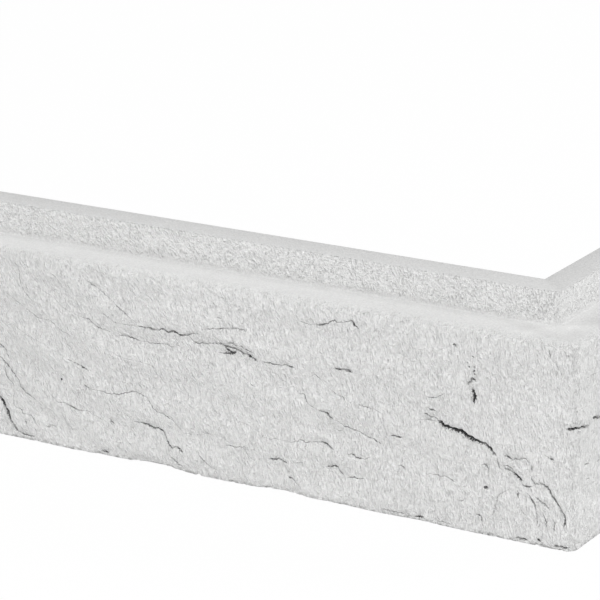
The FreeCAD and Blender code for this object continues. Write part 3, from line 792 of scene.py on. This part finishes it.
def concrete():
    """Off-white cast concrete: streaked on the brick face, stucco on the flange, with painted shade in the
    cracks, in the grain's hollows, on the flange top and on the ledge, a painted highlight on the ledge's
    front, and dark patches along the bottom arris.
    """
    material, g = new_material("cast concrete")
    place = g.node("ShaderNodeTexCoord")("Object")

    def mark(name):
        return g.node("ShaderNodeAttribute", {"attribute_name": name})("Fac")

    skin = mark("skin")
    stipple = mark("stipple")
    gape = mark("gape")
    spot = g.node("ShaderNodeSeparateXYZ", (), {0: place})
    height = spot("Z") / MM
    run = (spot("X") + spot("Y")) / MM

    # Where the finishes meet: the face's grain ends in a ragged edge on the ledge's roll, and so does
    # the stucco at the foot of the flange
    edge_noise = g.noise(place, 1 / (1.8 * MM), 2.0, 0.6, 9.0)
    on_face = skin * g.ease(height + edge_noise * 0.7, FACE_HEIGHT + 0.8, FACE_HEIGHT - 2.0)
    off_face = 1.0 - on_face
    to_corner = g.ease(run, -22.0, -6.0)
    short_side = g.ease(run, -2.0, 2.0)
    above_foot = g.ease(height + edge_noise * 0.6, FACE_HEIGHT + 0.2, FACE_HEIGHT + 2.0)
    stipple = stipple * above_foot * (1.0 - 0.35 * short_side)

    # Steep streaks of the moulded face, narrow sideways and long upward, that lean over along the flow
    bend = g.node("ShaderNodeTexNoise", (), {"Vector": place, "Scale": 1 / (3 * MM)})("Color")
    lean = (0.1 + 0.3 * g.ease(run, -50.0, -190.0)) * spot("Z")
    bent = g.vector("ADD", place, g.scaled(bend, 1.2 * MM))
    bent = g.vector("ADD", bent, g.node("ShaderNodeCombineXYZ", (), {"X": lean})())
    streaks = g.noise(g.vector("MULTIPLY", bent, (1.0, 1.0, 0.27)), 1 / (0.44 * MM), 1.0, 0.6, 1.0)
    grain = g.noise(place, 1 / (0.45 * MM), 0.0, 0.6, 2.0)
    lumps = g.noise(place, 1 / (2.6 * MM), 2.0, 0.5, 3.0)
    stucco = g.noise(g.vector("MULTIPLY", bent, (1.0, 1.0, 0.4)), 1 / (0.46 * MM), 0.0, 0.6, 4.0)
    relief = on_face * (streaks * 0.31 + grain * 0.06 + lumps * 0.08)
    relief = relief + stipple * (stucco * 0.18 + grain * 0.04 + streaks * to_corner * 0.15)
    relief = relief + off_face * grain * (0.07 - 0.03 * to_corner)
    bump = g.node("ShaderNodeBump", (), {"Strength": 1.0, "Distance": MM, "Height": relief})()

    # Cracks: a ragged line of painted shade, fainter where the crack is a hairline and broken along its
    # way
    ragged = g.noise(place, 1 / (0.6 * MM), 2.0, 0.6, 6.0) * 0.24
    ragged = ragged * (g.ease(gape, 0.0, 0.4) + g.ease(gape, 0.4, 0.9))
    rim = g.math("ABSOLUTE", mark("side") + ragged) - gape * 0.5
    broken = g.held(0.7 + 0.6 * g.noise(place, 1 / (2.2 * MM), 2.0, 0.6, 7.0) + g.ease(gape, 0.3, 0.8))
    crack = g.ease(rim, 0.15, -0.08) * g.ease(gape, -0.14, 0.23) * g.ease(gape, 0.0, 0.03) * broken

    # Dark patches along the bottom arris, joined to the cracks' dark lines
    patches = g.ease(g.noise(place, 1 / (1.4 * MM), 2.0, 0.6, 8.0), -0.4, 0.6)
    foot = g.ease(height, 1.7, 0.4) * patches * 0.45
    crack = g.math("MAXIMUM", crack, foot * skin)

    # Painted shade: the hollows of the grain and the stucco are painted darker than their crests, and the
    # lower face is a touch lighter in tone
    inner = g.ease(g.math("ABSOLUTE", run), 4.5, 1.0)
    speck = streaks * 0.1 + grain * 0.05 + 0.03 * g.ease(height, 48.0, 12.0) - 0.01
    coat = stucco * 0.07 + grain * 0.03 + streaks * 0.09 * inner - 0.02
    painted_hollow_shade = on_face * speck + stipple * coat + off_face * grain * 0.045
    cloud = g.noise(place, 1 / (24 * MM), 3.0, 0.6, 5.0) * 0.012

    # Painted shade: the smooth top of the flange is painted darker, and so is the ledge in its nook, on
    # its roll and near the corner; along the long leg the ledge's front gets a faint painted highlight
    top = g.ease(height, TOTAL_HEIGHT - 0.8, TOTAL_HEIGHT - 0.2)
    outside = g.math("MAXIMUM", spot("X"), -spot("Y")) / MM
    beyond_flange = g.ease(outside, FLANGE_THICKNESS - 3.0, FLANGE_THICKNESS - 1.0)
    ledge = off_face * (1.0 - top) * beyond_flange
    nook = g.ease(outside, FLANGE_THICKNESS + 4.0, FLANGE_THICKNESS)
    nook = nook * g.ease(height, FACE_HEIGHT + 3.0, FACE_HEIGHT)
    front = g.ease(outside, FLANGE_THICKNESS + 2.0, FLANGE_THICKNESS + 7.0)
    front = front * g.ease(outside, THICKNESS, THICKNESS - 3.5)
    on_ledge = g.ease(height, FACE_HEIGHT + 1.5, FACE_HEIGHT + 0.3)
    # Near the corner the ledge gets painted shade, most on its front and in the short leg's nook
    ledge_painted_shade_and_highlight = 0.07 + 0.08 * front * (1.0 - 0.5 * g.ease(run, 3.0, 11.0)) + 0.03 * inner * (1.0 - front)
    ledge_painted_shade_and_highlight = ledge_painted_shade_and_highlight + 0.03 * nook * short_side
    # Away from the corner: painted shade in the nook and a painted highlight on the ledge's front
    ledge_painted_shade_and_highlight = 0.02 + to_corner * on_ledge * ledge_painted_shade_and_highlight + (1.0 - to_corner) * (0.1 * nook - 0.045 * front)
    # Painted shade on the ledge's roll
    ledge_painted_shade_and_highlight = ledge_painted_shade_and_highlight + 0.035 * g.ease(outside, THICKNESS - 4.0, THICKNESS - 1.5)
    plain = 0.8
    # Painted shade of the flange top, a little deeper on the short leg
    painted_top_shade = 0.15 + 0.045 * short_side
    crack_drop = 0.9
    # The painted shade of the grain's hollows, the flange top and the ledge, and the ledge's painted
    # highlight, go into the tone
    tone = plain + painted_hollow_shade + cloud - painted_top_shade * top - ledge_painted_shade_and_highlight * ledge
    # Painted shade of the cracks, and the dark patches along the bottom arris, darken the tone
    tone = tone * (1.0 - crack_drop * crack)
    colours = {0: g.held(tone), 6: (0.0, 0.0, 0.0, 1.0), 7: (1.0, 1.0, 0.994, 1.0)}
    colour = g.node("ShaderNodeMix", {"data_type": "RGBA"}, colours)(2)
    sockets = {"Base Color": colour, "Roughness": 0.9, "Specular IOR Level": 0.25, "Normal": bump}
    shader = g.node("ShaderNodeBsdfPrincipled", (), sockets)()
    g.node("ShaderNodeOutputMaterial", (), {"Surface": shader})
    return material


def shown_to_camera(g):
    """1 for the rays that show the background itself, in the picture or in a reflection."""
    path = g.node("ShaderNodeLightPath")
    return g.held(path("Is Camera Ray") + path("Is Glossy Ray") + path("Is Transmission Ray"))


def floor():
    """A wide plain floor that the camera sees as white."""
    material, g = new_material("white floor")
    matt = g.node("ShaderNodeBsdfDiffuse", (), {"Color": (0.86, 0.86, 0.86, 1.0)})()
    white = g.node("ShaderNodeEmission", (), {"Color": (1.0, 1.0, 1.0, 1.0), "Strength": 1.0})()
    mixed = g.node("ShaderNodeMixShader", (), {0: shown_to_camera(g) * 0.98, 1: matt, 2: white})()
    g.node("ShaderNodeOutputMaterial", (), {"Surface": mixed})
    mesh = bpy.data.meshes.new("floor")
    half = 4.0
    corners = [(-half, -half, 0), (half, -half, 0), (half, half, 0), (-half, half, 0)]
    mesh.from_pydata(corners, [], [(0, 1, 2, 3)])
    mesh.materials.append(material)
    added("floor", mesh)


def world():
    """Soft light from all round, behind which the camera sees white."""
    sky = bpy.data.worlds.new("studio")
    sky.use_nodes = True
    sky.node_tree.nodes.clear()
    g = Tree(sky.node_tree)
    soft = g.node("ShaderNodeBackground", (), {"Color": (1.0, 1.0, 1.0, 1.0), "Strength": 0.3})()
    white = g.node("ShaderNodeBackground", (), {"Color": (1.0, 1.0, 1.0, 1.0), "Strength": 1.0})()
    mixed = g.node("ShaderNodeMixShader", (), {0: shown_to_camera(g), 1: soft, 2: white})()
    g.node("ShaderNodeOutputWorld", (), {"Surface": mixed})
    bpy.context.scene.world = sky


def softbox(name, azimuth, power):
    """A square area lamp that looks at the middle of the casting."""
    lamp = bpy.data.lights.new(name, "AREA")
    lamp.size = SOFTBOX_SIZE
    lamp.energy = power
    way = direction(azimuth, SOFTBOX_ELEVATION)
    box = added(name, lamp)
    box.location = CASTING_MIDDLE + SOFTBOX_DISTANCE * way
    box.rotation_euler = way.to_track_quat("Z", "Y").to_euler()


def camera():
    """The camera at the angle that the photograph was taken from."""
    azimuth = math.radians(CAMERA_AZIMUTH)
    roll = math.radians(CAMERA_ROLL)
    back = direction(CAMERA_AZIMUTH, CAMERA_ELEVATION)
    level = Vector((math.cos(azimuth), math.sin(azimuth), 0))
    upright = back.cross(level)
    right = math.cos(roll) * level + math.sin(roll) * upright
    up = math.cos(roll) * upright - math.sin(roll) * level
    lens = bpy.data.cameras.new("camera")
    lens.sensor_width = 36.0
    lens.lens = FOCAL_LENGTH
    lens.clip_end = 20.0
    view = added("camera", lens)
    turned = Matrix((right, up, back)).transposed().to_4x4()
    view.matrix_world = Matrix.Translation(CAMERA_PLACE * MM) @ turned
    bpy.context.scene.camera = view


def with_modifiers(thing):
    """The mesh that the object's modifiers make."""
    evaluated = thing.evaluated_get(bpy.context.evaluated_depsgraph_get())
    return bpy.data.meshes.new_from_object(evaluated)


def corner_slip(material):
    """The whole casting as one closed mesh."""
    lines = crack_lines()
    blank = added("blank", swept_blank())
    tree, values = moulded_relief(material, lines)
    shape = blank.modifiers.new("moulded relief", "NODES")
    shape.node_group = tree
    for key, value in values.items():
        shape[key] = value
    full = with_modifiers(blank)
    full.calc_loop_triangles()
    count = len(full.loop_triangles)
    blank.modifiers.remove(shape)
    blank.data = full
    if count > MOST_TRIANGLES:
        thin = blank.modifiers.new("thin", "DECIMATE")
        thin.ratio = MOST_TRIANGLES / count
        full = with_modifiers(blank)
        blank.modifiers.remove(thin)
    full.shade_smooth()
    full.set_sharp_from_angle(angle=math.radians(62))
    piece = added("moulded_corner_slip", full)
    bpy.data.objects.remove(blank)
    bpy.data.objects.remove(lines)
    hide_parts("corner_slip")
    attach(piece, "root")


corner_slip(concrete())
floor()
world()
for name, azimuth, power in SOFTBOXES:
    softbox(name, azimuth, power)
camera()
bpy.context.scene.view_settings.view_transform = "Standard"
